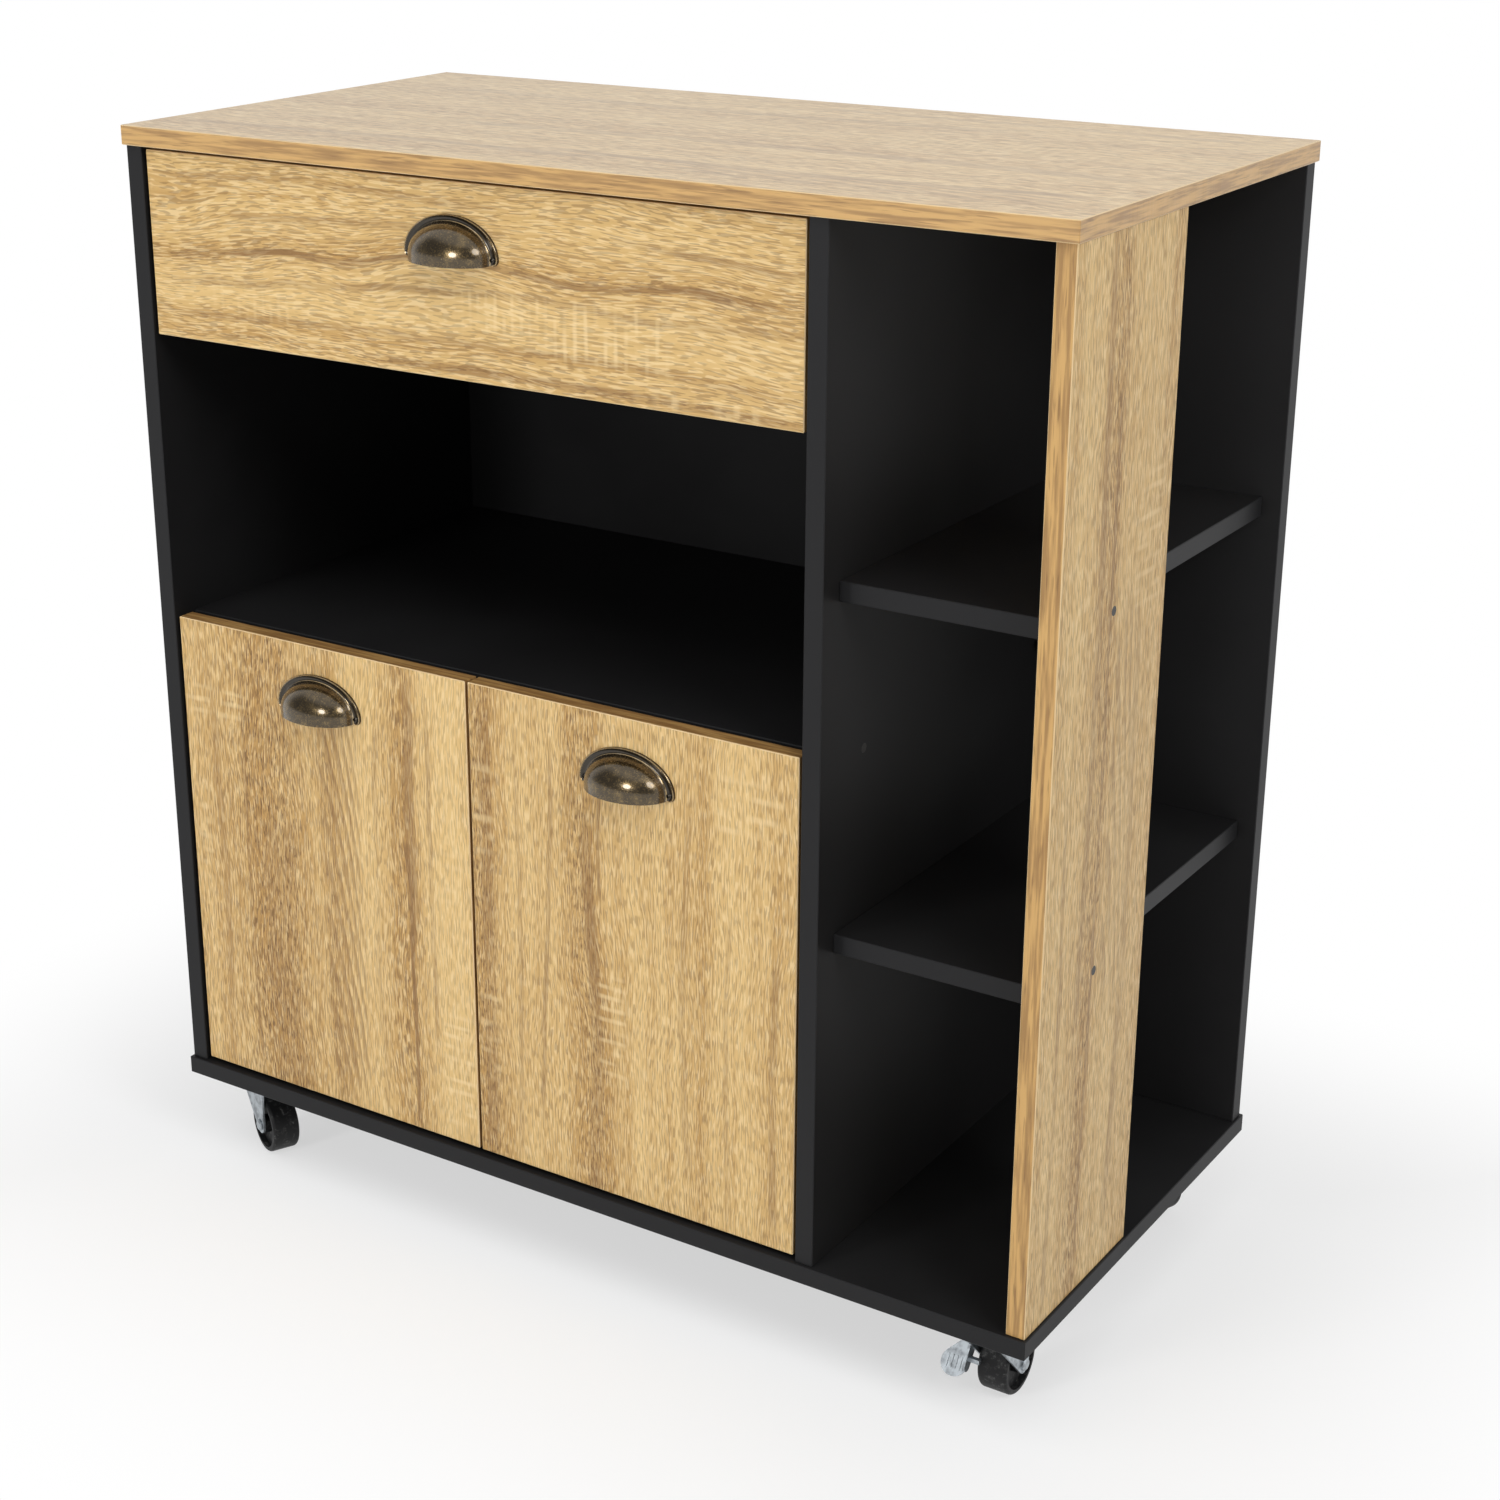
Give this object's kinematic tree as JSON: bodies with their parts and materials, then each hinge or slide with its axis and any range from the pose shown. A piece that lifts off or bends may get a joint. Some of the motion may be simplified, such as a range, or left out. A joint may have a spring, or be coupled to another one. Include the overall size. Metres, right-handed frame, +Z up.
{
  "type": "buffet cabinet",
  "caption": "Rolling kitchen buffet cabinet with a drawer over an open niche, double doors below, an open shelved side bay, cup pulls and swivel casters.",
  "frame": {"origin": "on the floor, under the middle of the overall box", "axes": "+Z up, +X to the right as seen from the front, +Y from the front to the back"},
  "size_m": [0.8, 0.419, 0.88],
  "materials": {
    "oak_melamine": "satin melamine printed as light sawn oak, with fine pores, streaks and pale saw marks",
    "black_melamine": "satin near-black melamine with a faint fine texture",
    "black_hardboard": "thin hardboard with a matt black paper face",
    "antique_bronze": "dark antique bronze, rubbed golden on its crown and rim",
    "white_runner_steel": "cream-white epoxy-coated sheet steel",
    "white_nylon": "smooth nylon",
    "nickel_steel": "nickel-plated pressed steel",
    "screw_steel": "zinc-plated steel, slightly dull",
    "zinc_steel": "bright zinc-plated pressed steel",
    "black_wheel": "moulded black plastic with a slightly shiny tread"
  },
  "bodies": {
    "cabinet": {"top_panel": "oak_melamine", "base_panel": "black_melamine", "left_side_panel": "black_melamine", "divider_panel": "black_melamine", "end_panel": "oak_melamine", "rear_panel": "black_melamine", "back_board": "black_hardboard", "niche_shelf": "black_melamine", "upper_side_shelf": "black_melamine", "lower_side_shelf": "black_melamine", "joint_screws": "screw_steel", "cam_locks": "screw_steel", "cam_bolts": "screw_steel", "left_runner": "white_runner_steel", "right_runner": "white_runner_steel", "runner_screws": "screw_steel", "hinge_arms": "nickel_steel", "hinge_plates": "nickel_steel", "hinge_screws": "screw_steel", "caster_plates": "zinc_steel", "caster_kingpins": "zinc_steel", "caster_screws": "screw_steel"},
    "drawer": {"drawer_front": "oak_melamine", "drawer_left_side": "black_melamine", "drawer_right_side": "black_melamine", "drawer_back": "black_melamine", "drawer_bottom": "black_hardboard", "left_drawer_rail": "white_runner_steel", "right_drawer_rail": "white_runner_steel", "drawer_handle": "antique_bronze", "drawer_handle_screws": "antique_bronze"},
    "front_rollers": {"front_rollers": "white_nylon"},
    "rear_rollers": {"rear_rollers": "white_nylon"},
    "left_door": {"left_door": "oak_melamine", "left_door_handle": "antique_bronze", "left_handle_screws": "antique_bronze", "left_hinge_cups": "nickel_steel", "left_hinge_pins": "nickel_steel", "left_cup_screws": "screw_steel"},
    "right_door": {"right_door": "oak_melamine", "right_door_handle": "antique_bronze", "right_handle_screws": "antique_bronze", "right_hinge_cups": "nickel_steel", "right_hinge_pins": "nickel_steel", "right_cup_screws": "screw_steel"},
    "front_left_fork": {"front_left_fork": "zinc_steel", "front_left_axle": "zinc_steel"},
    "front_left_wheel": {"front_left_wheel": "black_wheel"},
    "front_right_fork": {"front_right_fork": "zinc_steel", "front_right_axle": "zinc_steel"},
    "front_right_wheel": {"front_right_wheel": "black_wheel"},
    "front_right_brake_lever": {"front_right_brake_lever": "zinc_steel"},
    "rear_left_fork": {"rear_left_fork": "zinc_steel", "rear_left_axle": "zinc_steel"},
    "rear_left_wheel": {"rear_left_wheel": "black_wheel"},
    "rear_left_brake_lever": {"rear_left_brake_lever": "zinc_steel"},
    "rear_right_fork": {"rear_right_fork": "zinc_steel", "rear_right_axle": "zinc_steel"},
    "rear_right_wheel": {"rear_right_wheel": "black_wheel"}
  },
  "joints": [
    {"name": "drawer_slide", "type": "slide", "parent": "cabinet", "child": "drawer", "axis": [0, -1, 0], "range_m": [0, 0.26]},
    {"name": "front_roller_spin", "type": "hinge", "parent": "cabinet", "child": "front_rollers", "pos_m": [0, -0.1565, 0.7438], "axis": [1, 0, 0], "continuous": true},
    {"name": "rear_roller_spin", "type": "hinge", "parent": "drawer", "child": "rear_rollers", "pos_m": [0, 0.1675, 0.7433], "axis": [1, 0, 0], "continuous": true},
    {"name": "left_door_hinge", "type": "hinge", "parent": "cabinet", "child": "left_door", "pos_m": [-0.371, -0.179, 0.2905], "axis": [0, 0, -1], "range_deg": [0, 95]},
    {"name": "right_door_hinge", "type": "hinge", "parent": "cabinet", "child": "right_door", "pos_m": [0.196, -0.179, 0.2905], "axis": [0, 0, 1], "range_deg": [0, 95]},
    {"name": "front_left_swivel", "type": "hinge", "parent": "cabinet", "child": "front_left_fork", "pos_m": [-0.356, -0.144, 0.0635], "axis": [0, 0, 1], "continuous": true},
    {"name": "front_left_wheel_spin", "type": "hinge", "parent": "front_left_fork", "child": "front_left_wheel", "pos_m": [-0.34072, -0.15145, 0.025], "axis": [0.4384, 0.8988, 0], "continuous": true},
    {"name": "front_right_swivel", "type": "hinge", "parent": "cabinet", "child": "front_right_fork", "pos_m": [0.356, -0.144, 0.0635], "axis": [0, 0, 1], "continuous": true},
    {"name": "front_right_wheel_spin", "type": "hinge", "parent": "front_right_fork", "child": "front_right_wheel", "pos_m": [0.356, -0.127, 0.025], "axis": [-1, 0, 0], "continuous": true},
    {"name": "front_right_brake", "type": "hinge", "parent": "front_right_fork", "child": "front_right_brake_lever", "pos_m": [0.356, -0.148, 0.05], "axis": [1, 0, 0], "range_deg": [0, 12]},
    {"name": "rear_left_swivel", "type": "hinge", "parent": "cabinet", "child": "rear_left_fork", "pos_m": [-0.356, 0.163, 0.0635], "axis": [0, 0, 1], "continuous": true},
    {"name": "rear_left_wheel_spin", "type": "hinge", "parent": "rear_left_fork", "child": "rear_left_wheel", "pos_m": [-0.34047, 0.16992, 0.025], "axis": [-0.4067, 0.9135, 0], "continuous": true},
    {"name": "rear_left_brake", "type": "hinge", "parent": "rear_left_fork", "child": "rear_left_brake_lever", "pos_m": [-0.35965, 0.16137, 0.05], "axis": [0.4067, -0.9135, 0], "range_deg": [0, 12]},
    {"name": "rear_right_swivel", "type": "hinge", "parent": "cabinet", "child": "rear_right_fork", "pos_m": [0.356, 0.163, 0.0635], "axis": [0, 0, 1], "continuous": true},
    {"name": "rear_right_wheel_spin", "type": "hinge", "parent": "rear_right_fork", "child": "rear_right_wheel", "pos_m": [0.34024, 0.16937, 0.025], "axis": [-0.3746, -0.9272, 0], "continuous": true}
  ],
  "couplings": [
    {"joint": "front_roller_spin", "follows": "drawer_slide", "rad_per_m": 117.65},
    {"joint": "rear_roller_spin", "follows": "drawer_slide", "rad_per_m": 117.65}
  ]
}
